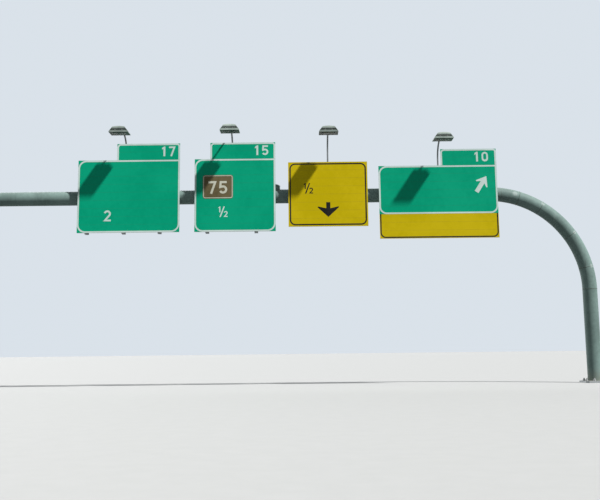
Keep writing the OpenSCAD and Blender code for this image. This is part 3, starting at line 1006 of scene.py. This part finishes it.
def figure_outlines(digit):
    """(outlines, width) of one digit."""
    h = LINE / 2
    if digit == "1":
        return [[(0.14, 0), (0.33, 0), (0.33, 1), (0.2, 1), (0, 0.86), (0, 0.68), (0.14, 0.77)]], ONE_W
    if digit == "0":
        outer = arc(BOWL_R, 0.66, BOWL_R, 0, 180, 14) + arc(BOWL_R, 0.32, BOWL_R, 180, 360, 14)
        r = BOWL_R - LINE
        inner = arc(BOWL_R, 0.66, r, 0, 180, 14) + arc(BOWL_R, 0.34, r, 180, 360, 14)
        return [outer, inner], FIGURE_W
    paths = {
        "2": arc(BOWL_R, 0.68, BOWL_R - h, 165, -32, 16) + [(0.11, h), (0.64, h)],
        "5": [(0.60, 1 - h), (0.13, 1 - h), (0.10, 0.53)] + arc(0.31, 0.33, 0.33 - h, 112, -150, 18),
        "7": [(0, 1 - h), (0.54, 1 - h), (0.22, 0)],
    }
    return [line_outline(paths[digit])], FIGURE_W


def number_shapes(text, tall, right_x, base_z, gap=0.2):
    """Outlines of a number that ends at right_x and stands on base_z."""
    figures = [figure_outlines(d) for d in text]
    total = sum(w for _, w in figures) + gap * (len(text) - 1)
    x = right_x - total * tall
    shapes = []
    for outlines, width in figures:
        shapes.append([[(x + px * tall, base_z + pz * tall) for px, pz in line] for line in outlines])
        x += (width + gap) * tall
    return shapes


def half_shapes(left_x, base_z, tall):
    """A plain one-half: small figures with a slanting line between them."""
    small = 0.56 * tall
    one_end, two_end = 0.40 * tall, 1.06 * tall
    slash = [(0.30, 0), (0.42, 0), (0.80, 1), (0.68, 1)]
    shapes = number_shapes("1", small, left_x + one_end, base_z + tall - small)
    shapes.append([[(left_x + px * tall, base_z + pz * tall) for px, pz in slash]])
    return shapes + number_shapes("2", small, left_x + two_end, base_z)


def face_point(number, share_x, share_z):
    """Point on a sign's main panel by its shares of width and height."""
    low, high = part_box(f"sign_{number}_panel")
    return low.x + share_x * (high.x - low.x), low.z + share_z * (high.z - low.z)


TAB_FIGURE, TAB_BASE, TAB_GAP = 0.36, 0.13, 0.34
FACE_FIGURE, HALF_FIGURE = 0.40, 0.38
for number, text, from_right in ((1, "17", 0.17), (2, "15", 0.25), (4, "10", 0.29)):
    low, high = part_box(f"sign_{number}_tab")
    shapes = number_shapes(text, TAB_FIGURE, high.x - from_right, low.z + TAB_BASE, TAB_GAP)
    piece(f"sign_{number}_tab_number", plates(shapes), white)
shapes = number_shapes("2", FACE_FIGURE, *face_point(1, 0.33, 0.155))
piece("sign_1_number", plates(shapes), white)
for number, spot, finish in ((2, (0.27, 0.20), white), (3, (0.17, 0.51), black)):
    shapes = half_shapes(*face_point(number, *spot), HALF_FIGURE)
    piece(f"sign_{number}_number", plates(shapes), finish)

# Brown plaque on sign 2

PLAQUE_W, PLAQUE_H, PLAQUE_R = 1.09, 0.866, 0.09
PLAQUE_FIGURE, FIGURES_END, FIGURES_BASE = 0.46, 0.88, 0.18
RIM_INSET, RIM_W, RIM_R = 18 * MM, 26 * MM, 75 * MM
plaque_x, plaque_z = face_point(2, 0.101, 0.452)
plaque_right, plaque_top = plaque_x + PLAQUE_W, plaque_z + PLAQUE_H
plaque = rounded(plaque_x, plaque_z, plaque_right, plaque_top, (PLAQUE_R,) * 4)
piece("sign_2_plaque", plates([[plaque]]), brown)
plaque_box = (Vector((plaque_x, 0, plaque_z)), Vector((plaque_right, 0, plaque_top)))
rim = closed_border(*plaque_box, RIM_INSET, RIM_W, (RIM_R,) * 4)
figures = number_shapes("75", PLAQUE_FIGURE, plaque_x + FIGURES_END, plaque_z + FIGURES_BASE)
piece("sign_2_plaque_figures", plates([rim] + figures, face_y - SHEET), cream)

# Clips that hold the posts to the ribs, and the brackets' fixings

CLIP_WIDE = 28 * MM
CLIP_OVER_RIB = MM
BRACKET_BOLT_X = 76 * MM
BRACKET_ROWS = (-0.13, 0.0, 0.13)
CHEEK_ARC = 43
CHEEK_STEPS = 24
CHEEK_BEAD = 6 * MM


def clip_form():
    """Cast clip that hooks over a flange's edge: x away from the post, y away from the ribs."""
    line = [(-14, 8.4), (-14, 14), (-11, 16.5), (9, 16.5), (20, 8), (20, -12), (3, -12), (3, 8.4)]
    form = prism([[(x * MM, y * MM) for x, y in line]], CLIP_WIDE)
    bolt = bolt_head(across=17 * MM, high=10 * MM)
    return form.add(bolt, stand((7 * MM, 16.4 * MM, CLIP_WIDE / 2), X, DOWN))


right_clip = clip_form()
CLIPS = {1: right_clip, -1: right_clip.mirrored()}


def post_runs(number):
    """(middle, foot, top) of each of a sign's posts, read from their mesh."""
    points = [v.co for v in nodes[f"sign_{number}_posts"].data.vertices]
    xs = sorted({round(p.x, 4) for p in points})
    runs = []
    while xs:
        post = [x for x in xs if x <= xs[0] + POST_W + MM]
        middle = (post[0] + post[-1]) / 2
        levels = [p.z for p in points if abs(p.x - middle) < POST_W]
        runs.append((middle, min(levels), max(levels)))
        xs = xs[len(post):]
    return runs


def post_clips(number, runs):
    """Clips on both edges of each post's front flange, on every rib that the post crosses."""
    form = Form()
    for node in SIGN_PANELS[number]:
        low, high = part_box(node)
        bottom, pitch, count = planks(node)
        for level in [bottom + i * pitch + RIB_T for i in range(count)]:
            for x, foot, top in runs:
                if low.x < x < high.x and foot <= level <= top:
                    for side, clip in CLIPS.items():
                        spot = (x + side * POST_W / 2, rib_back_y, level + CLIP_OVER_RIB)
                        form.add(clip, stand(spot, X, Y))
    piece(f"sign_{number}_post_clips", form, bolt_zinc)


def cheek_path(x):
    """Path where a bracket's cheek meets the front of the tube."""
    path = []
    for k in range(CHEEK_STEPS + 1):
        a = math.radians(CHEEK_ARC * (2 * k / CHEEK_STEPS - 1))
        out = Vector((0, -math.cos(a), math.sin(a)))
        path.append((Vector((x, 0, beam_z)) + out * (tube_r + BEAD_OUT), out))
    return path


def bracket_fixings(number, runs):
    """Bolts and flange clips of a sign's brackets, and the welds that hold the cheeks to the tube."""
    bolts, beads = Form(), Form()
    plate_back = post_back_y + BRACKET_T
    head = bolt_head(across=24 * MM, high=15 * MM)
    for x, _, _ in runs:
        for side in (-1, 1):
            for up in BRACKET_ROWS:
                bolts.add(head, stand((x + side * BRACKET_BOLT_X, plate_back, beam_z + up), X, DOWN))
                grip = (x + side * POST_W / 2, post_back_y, beam_z + up + CLIP_WIDE / 2)
                bolts.add(CLIPS[side], stand(grip, X, TO_READER))
            for face_x in CHEEK_FACES:
                beads.add(weld(cheek_path(x + side * face_x), CHEEK_BEAD, closed=False))
    piece(f"sign_{number}_bracket_bolts", bolts, bolt_zinc)
    piece(f"sign_{number}_bracket_welds", beads, weld_paint)


for number in SIGN_PANELS:
    runs = post_runs(number)
    post_clips(number, runs)
    bracket_fixings(number, runs)

# Welds of the tube, and the anchor bolts

SEAM_BEAD, FOOT_BEAD = 8 * MM, 13 * MM
BEAD_STEP, FOOT_BEAD_OUT = 9 * MM, 3 * MM
COLUMNS = {"left": 0.0, "right": span}


def tube_welds(side, column_x):
    """Beads on every seam of a bend, and where its column stands on the base plate."""
    form = Form()
    for middle, along, _ in bend_seams(side):
        form.add(weld(ring_path(middle, along, tube_r, BEAD_STEP), SEAM_BEAD))
    piece(f"bend_{side}_welds", form, bend_weld_paints[side])
    foot = corner_path((column_x, 0, plate_top), tube_r + FOOT_BEAD_OUT, BEAD_STEP)
    piece(f"column_{side}_foot_weld", weld(foot, FOOT_BEAD), weld_paint)


def anchor_form():
    """Thick washer, hexagon nut with a chamfer on both sides, and threaded rod end."""
    washer_top, nut_top, thread_top, rod_top = 9, 57, 92, 96
    pitch, crest_r, root_r = 5, 24.5, 22.3
    washer = [(0, 0), (52, 0), (54, 2), (54, 7), (52, washer_top), (0, washer_top)]
    nut = [(0, washer_top), (37, washer_top), (43.3, 12), (43.3, 54), (37, nut_top), (0, nut_top)]
    rod = [(0, washer_top)]
    for z in range(nut_top, thread_top, pitch):
        rod += [(crest_r, z), (root_r, z + pitch / 2)]
    rod += [(20, rod_top), (0, rod_top)]
    return turned(washer, 36).add(turned(nut, 6)).add(turned(rod, 24)).from_mm()


def anchors(side, column_x):
    """Eight anchor bolts on a base plate, each nut stopped at its own turn."""
    form = Form()
    single = anchor_form()
    for i in range(ANCHORS):
        a = math.radians((i + 0.5) * 360 / ANCHORS)
        x, y = column_x + ANCHOR_RING_R * math.cos(a), ANCHOR_RING_R * math.sin(a)
        turn = Matrix.Rotation(random.uniform(0, math.pi / 3), 4, "Z")
        form.add(single, Matrix.Translation((x, y, plate_top)) @ turn)
    piece(f"base_{side}_anchors", form, bolt_zinc)


for side, column_x in COLUMNS.items():
    tube_welds(side, column_x)
for side, column_x in COLUMNS.items():
    anchors(side, column_x)

# Lamps

GLASS_FRAME_OUT, GLASS_FRAME_IN, GLASS_FRAME_T, GLASS_FRAME_GAP = 24 * MM, 8 * MM, 5 * MM, 0.2 * MM
GLASS_FRAME_R, GLASS_HOLE_R = 20 * MM, 6 * MM
FRAME_SCREW_IN, FRAME_SCREW_OUT = 20 * MM, 13 * MM
LATCH_X, LATCH_DOWN, LATCH_GAP = 120 * MM, 66 * MM, 0.3 * MM
HINGE_X, HINGE_BACK = 170 * MM, 8 * MM
CAP_SCREW_Y, CAP_SCREW_UP = 150 * MM, 22 * MM
GRUB_X, GRUB_BACK = 37 * MM, 32 * MM
SEAL_T, SEAL_R, SEAL_OUT = 5 * MM, 4 * MM, MM
SEAL_W, SEAL_FRONT_W = 10 * MM, 50 * MM
REFLECTOR_GAP, REFLECTOR_UP, REFLECTOR_TALL = 15 * MM, 8 * MM, 90 * MM
REFLECTOR_T, REFLECTOR_FLARE = 2 * MM, 1.02
REFLECTOR_STEPS = 24
BULB_UP = 50 * MM


class Lamp:
    """Measures of one lamp, read from its pieces' boxes."""

    def __init__(self, number):
        self.low, self.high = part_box(f"lamp_{number}_housing")
        glass_low, glass_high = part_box(f"lamp_{number}_glass")
        cap_low, cap_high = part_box(f"lamp_{number}_cap")
        self.x = (self.low.x + self.high.x) / 2
        self.y = (self.low.y + self.high.y) / 2
        self.half_d = (self.high.y - self.low.y) / 2
        self.glass_x = (glass_high.x - glass_low.x) / 2
        self.glass_y = (glass_high.y - glass_low.y) / 2
        self.cap_x = (cap_high.x - cap_low.x) / 2
        self.pipe_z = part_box(f"lamp_{number}_arm")[1].z - PIPE_R


def glass_frame(lamp):
    """Frame round the glass, with its screws, under a housing."""
    out_x, out_y = lamp.glass_x + GLASS_FRAME_OUT, lamp.glass_y + GLASS_FRAME_OUT
    in_x, in_y = lamp.glass_x - GLASS_FRAME_IN, lamp.glass_y - GLASS_FRAME_IN
    outer = rounded(-out_x, -out_y, out_x, out_y, (GLASS_FRAME_R,) * 4, 5)
    inner = rounded(-in_x, -in_y, in_x, in_y, (GLASS_HOLE_R,) * 4, 3)
    under = stand((lamp.x, lamp.y, lamp.low.z - GLASS_FRAME_GAP), X, TO_READER)
    form = Form().add(prism([outer, inner], GLASS_FRAME_T), under)
    screw = round_screw(radius=6 * MM, high=3.5 * MM)
    screw_x, screw_y = lamp.glass_x - FRAME_SCREW_IN, lamp.glass_y + FRAME_SCREW_OUT
    for sx in (-1, 0, 1):
        for sy in (-1, 1):
            spot = (lamp.x + sx * screw_x, lamp.y + sy * screw_y, lamp.low.z - GLASS_FRAME_T)
            form.add(screw, stand(spot, X, TO_READER))
    return form


def latch_form():
    """Toggle latch: base plate, bent lever and the two rods it pulls. x sideways, y up, z outwards."""
    base_t, lever_w, rod_r, rod_long = 2.5, 26, 2, 30
    form = prism([rounded(-18, 0, 18, 62, (3,) * 4, 3)], base_t)
    side = [(base_t, 8), (12, 8), (15, 14), (13, 44), (16, 52), (14, 54), (10, 46), (base_t, 46)]
    form.add(prism([side], lever_w), stand((lever_w / 2, 0, 0), Z, Y))
    rod = turned([(0, 0), (rod_r, 0), (rod_r, rod_long), (0, rod_long)], 8)
    for x in (-15, 15):
        form.add(rod, stand((x, 34, 8), X, DOWN))
    return form.from_mm()


def hinge_form():
    """Hinge barrel with a groove each side of its middle knuckle."""
    half = [(8, 9.5), (7, 10), (7, 10.5), (8, 11), (8, 32), (0, 32)]
    profile = [(r, -z) for r, z in reversed(half)] + half
    return turned(profile, 16).from_mm()


def lamp_fixings(lamp):
    """Latches in the recess, screws on the cap's ends, hinges and grub screws at the back."""
    form = Form()
    latch = latch_form()
    for x in (-LATCH_X, LATCH_X):
        spot = (lamp.x + x, lamp.low.y + RECESS_DEEP + LATCH_GAP, lamp.high.z - LATCH_DOWN)
        form.add(latch, stand(spot))
    screw = round_screw(radius=6 * MM, high=3.5 * MM)
    cap_end = lamp.cap_x - END_SLOPE * CAP_SCREW_UP
    for side in (-1, 1):
        away = Vector((side, 0, END_SLOPE))
        for y in (-CAP_SCREW_Y, CAP_SCREW_Y):
            spot = (lamp.x + side * cap_end, lamp.y + y, lamp.high.z + CAP_SCREW_UP)
            form.add(screw, stand(spot, Y, away.cross(Vector(Y))))
    hinge = hinge_form()
    for x in (-HINGE_X, HINGE_X):
        form.add(hinge, stand((lamp.x + x, lamp.high.y + HINGE_BACK, lamp.high.z), Y, Z))
    grub = bolt_head(across=13 * MM, high=9 * MM)
    for side in (-1, 1):
        spot = (lamp.x + side * GRUB_X, lamp.high.y + GRUB_BACK, lamp.pipe_z)
        form.add(grub, stand(spot, (0, side, 0), Z))
    return form


def seal_form(lamp):
    """Gasket between housing and cap, wider at the front, where the recess is."""
    x, y = lamp.cap_x, lamp.half_d
    outer = rounded(-x - SEAL_OUT, -y + SEAL_OUT, x + SEAL_OUT, y, (SEAL_R,) * 4, 3)
    inner = rounded(-x + SEAL_W, -y + SEAL_FRONT_W, x - SEAL_W, y - SEAL_W, (SEAL_R,) * 4, 3)
    middle = (lamp.x, lamp.y, lamp.high.z - SEAL_T / 2)
    return Form().add(prism([outer, inner], SEAL_T), stand(middle, X, Y))


def reflector_form(lamp):
    """Bright trough over the bulb: a bent sheet with an end plate at each end."""
    half_x, half_y = lamp.glass_x - REFLECTOR_GAP, lamp.glass_y - REFLECTOR_GAP
    low_z = lamp.low.z + REFLECTOR_UP
    inside, outside = [], []
    for i in range(REFLECTOR_STEPS + 1):
        y = -half_y + 2 * half_y * i / REFLECTOR_STEPS
        z = REFLECTOR_TALL * (1 - (y / half_y) ** 2)
        inside.append((y, z))
        outside.append((y * REFLECTOR_FLARE, z + REFLECTOR_T))
    form = Form()
    form.add(prism([inside + outside[::-1]], 2 * half_x), stand((lamp.x - half_x, lamp.y, low_z), Y, Z))
    for x in (lamp.x - half_x, lamp.x + half_x - REFLECTOR_T):
        form.add(prism([outside], REFLECTOR_T), stand((x, lamp.y, low_z), Y, Z))
    return form


def bulb_form():
    """Long lamp with a drawn-in neck and a screwed base."""
    tip_r, tip_z = 27, -83
    tip = [(tip_r * math.sin(a), tip_z - tip_r * math.cos(a))
           for a in [math.radians(degrees) for degrees in (25, 50, 75, 90)]]
    body = [(28, -20), (27, 30), (21, 60), (17, 72), (17, 76), (19, 78), (19, 104), (12, 110), (0, 112)]
    return turned([(0, tip_z - tip_r)] + tip + body, 20).from_mm()


def lamp_fittings(number):
    """What is bolted, latched and sealed on one lamp."""
    lamp = Lamp(number)
    piece(f"lamp_{number}_glass_frame", glass_frame(lamp), LAMP_CASTINGS[number])
    piece(f"lamp_{number}_latches", lamp_fixings(lamp), bolt_zinc)
    piece(f"lamp_{number}_seal", seal_form(lamp), gasket)
    piece(f"lamp_{number}_reflector", reflector_form(lamp), reflector_metal)
    bulb = Form().add(bulb_form(), stand((lamp.x, lamp.y, lamp.low.z + BULB_UP), Y, Z))
    piece(f"lamp_{number}_bulb", bulb, bulb_white)


FOOT_BOLTS, FOOT_BOLT_RING_R = 4, 68 * MM
SADDLE_BEAD, SADDLE_OUT, SADDLE_STEP = 6 * MM, 2 * MM, 8 * MM
PIPE_BEAD, PIPE_BEAD_STEP = 5 * MM, 6 * MM
BOX_SCREWS, BOX_SCREW_DOWN, BOX_SCREW_SUNK = 8, 16 * MM, 0.4 * MM


def arm_foot_fixings(number, beads, bolts):
    """Beads round a lamp arm's foot and pipe, and the bolts on its foot."""
    low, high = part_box(f"lamp_{number}_arm")
    x = (low.x + high.x) / 2
    foot_top = beam_z + tube_r + ARM_FOOT_UP
    beads.add(weld(saddle_path(x, ARM_FOOT_R + SADDLE_OUT, SADDLE_STEP), SADDLE_BEAD))
    pipe_foot = corner_path((x, 0, foot_top), PIPE_R + BEAD_OUT, PIPE_BEAD_STEP)
    beads.add(weld(pipe_foot, PIPE_BEAD))
    head = bolt_head(across=17 * MM, high=11 * MM)
    for i in range(FOOT_BOLTS):
        a = math.radians((i + 0.5) * 360 / FOOT_BOLTS)
        spot = (x + FOOT_BOLT_RING_R * math.cos(a), FOOT_BOLT_RING_R * math.sin(a), foot_top)
        bolts.add(head, Matrix.Translation(spot))


def cable_box_fixings(beads, bolts):
    """Bead round the foot of the cable box, and the screws round its lid."""
    low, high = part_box("cable_box")
    x = (low.x + high.x) / 2
    box_r = (high.x - low.x) / 2
    beads.add(weld(saddle_path(x, box_r + SADDLE_OUT, BEAD_STEP), SADDLE_BEAD))
    screw = round_screw(radius=7 * MM, high=4 * MM)
    for i in range(BOX_SCREWS):
        a = math.radians((i + 0.5) * 360 / BOX_SCREWS)
        out = Vector((math.cos(a), math.sin(a), 0))
        spot = Vector((x, 0, high.z - BOX_SCREW_DOWN)) + out * (box_r - BOX_SCREW_SUNK)
        bolts.add(screw, stand(spot, Z, out.cross(Vector(Z))))


def beam_top_fixings():
    """Beads and bolts of everything that stands on the beam."""
    beads, bolts = Form(), Form()
    for number in LAMP_CASTINGS:
        arm_foot_fixings(number, beads, bolts)
    cable_box_fixings(beads, bolts)
    piece("lamp_arm_welds", beads, weld_paint)
    piece("lamp_arm_bolts", bolts, bolt_zinc)


for number in LAMP_CASTINGS:
    lamp_fittings(number)
beam_top_fixings()

# Floor, light and camera

FLOOR_R = 3000.0
FLOOR_DARK, FLOOR_LIGHT = (0.41, 0.41, 0.40), (0.45, 0.45, 0.44)
FLOOR_BOUNCE = (0.11, 0.115, 0.115)
BACKDROP = (0.70, 0.76, 0.82)
FILL, FILL_LEVEL = (0.85, 0.94, 1.0), 0.22
EYE = (14.56, -30.504, 1.125)
FOCAL, SENSOR_W = 51.0, 36.0
# The photograph is 600 px wide, and its lowest 50 px are a plain bar
PHOTO_W, BAR_H = 600, 50
PITCH, HEADING, ROLL = math.radians(8.601), math.radians(0.127), math.radians(-0.65)


def seen_rays(t):
    """One for rays from the camera, off metal or through glass, zero for light that bounces."""
    rays = t.put("LightPath").outputs
    seen = t.math("MAXIMUM", rays["Is Camera Ray"], rays["Is Transmission Ray"])
    return t.math("MAXIMUM", seen, rays["Is Glossy Ray"])


def floor():
    """Plain pale floor, level with the underside of the base plates."""
    mesh = bpy.data.meshes.new("floor")
    rim = [(x, y, 0) for x, y in arc(span / 2, 0, FLOOR_R, 0, 355, 71)]
    mesh.from_pydata(rim, [], [list(range(len(rim)))])
    made = bpy.data.objects.new("floor", mesh)
    bpy.context.scene.collection.objects.link(made)
    f = Finish("pale floor")
    pale = f.mix(f.noise(f.place, 3.0, detail=4.0, rough=0.6), FLOOR_DARK, FLOOR_LIGHT)
    f.feed(f.shader["Base Color"], f.mix(seen_rays(f), FLOOR_BOUNCE, pale))
    f.feed(f.shader["Roughness"], 0.9)
    mesh.materials.append(f.material)
    made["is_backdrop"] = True


def world():
    """Pale backdrop for what the camera, glossy and glass rays see, and a softer level for light."""
    made = bpy.data.worlds.new("studio")
    bpy.context.scene.world = made
    made.use_nodes = True
    made.node_tree.nodes.clear()
    t = Nodes(made.node_tree)
    both = t.put("MixShader")
    t.feed(both.inputs[0], seen_rays(t))
    for socket, colour, level in ((both.inputs[1], FILL, FILL_LEVEL), (both.inputs[2], BACKDROP, 1.0)):
        light = t.put("Background")
        t.feed(light.inputs[0], colour)
        t.feed(light.inputs[1], level)
        t.feed(socket, light.outputs[0])
    t.feed(t.put("OutputWorld").inputs[0], both.outputs[0])


def soft_sun(name, toward, power, spread):
    """Wide soft light from one direction."""
    data = bpy.data.lights.new(name, "SUN")
    data.energy = power
    data.angle = math.radians(spread)
    made = bpy.data.objects.new(name, data)
    bpy.context.scene.collection.objects.link(made)
    made.rotation_mode = "QUATERNION"
    made.rotation_quaternion = Vector(toward).normalized().to_track_quat("Z", "Y")


def camera():
    """The photograph's view, from a little over a metre up, looking up at the signs."""
    data = bpy.data.cameras.new("camera")
    data.sensor_width = SENSOR_W
    data.lens = FOCAL
    data.shift_y = -BAR_H / 2 / PHOTO_W
    data.clip_end = 3 * FLOOR_R
    made = bpy.data.objects.new("camera", data)
    bpy.context.scene.collection.objects.link(made)
    aim = Matrix.Rotation(-HEADING, 4, "Z") @ Matrix.Rotation(math.pi / 2 + PITCH, 4, "X")
    made.matrix_world = Matrix.Translation(EYE) @ aim @ Matrix.Rotation(ROLL, 4, "Z")
    bpy.context.scene.camera = made


floor()
world()
soft_sun("key", toward=(1.43, -1.0, 2.1), power=4.95, spread=3)
soft_sun("back fill", toward=(-0.6, 0.9, 0.5), power=1.7, spread=50)
camera()
bpy.context.scene.view_settings.view_transform = "Standard"

low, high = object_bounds()
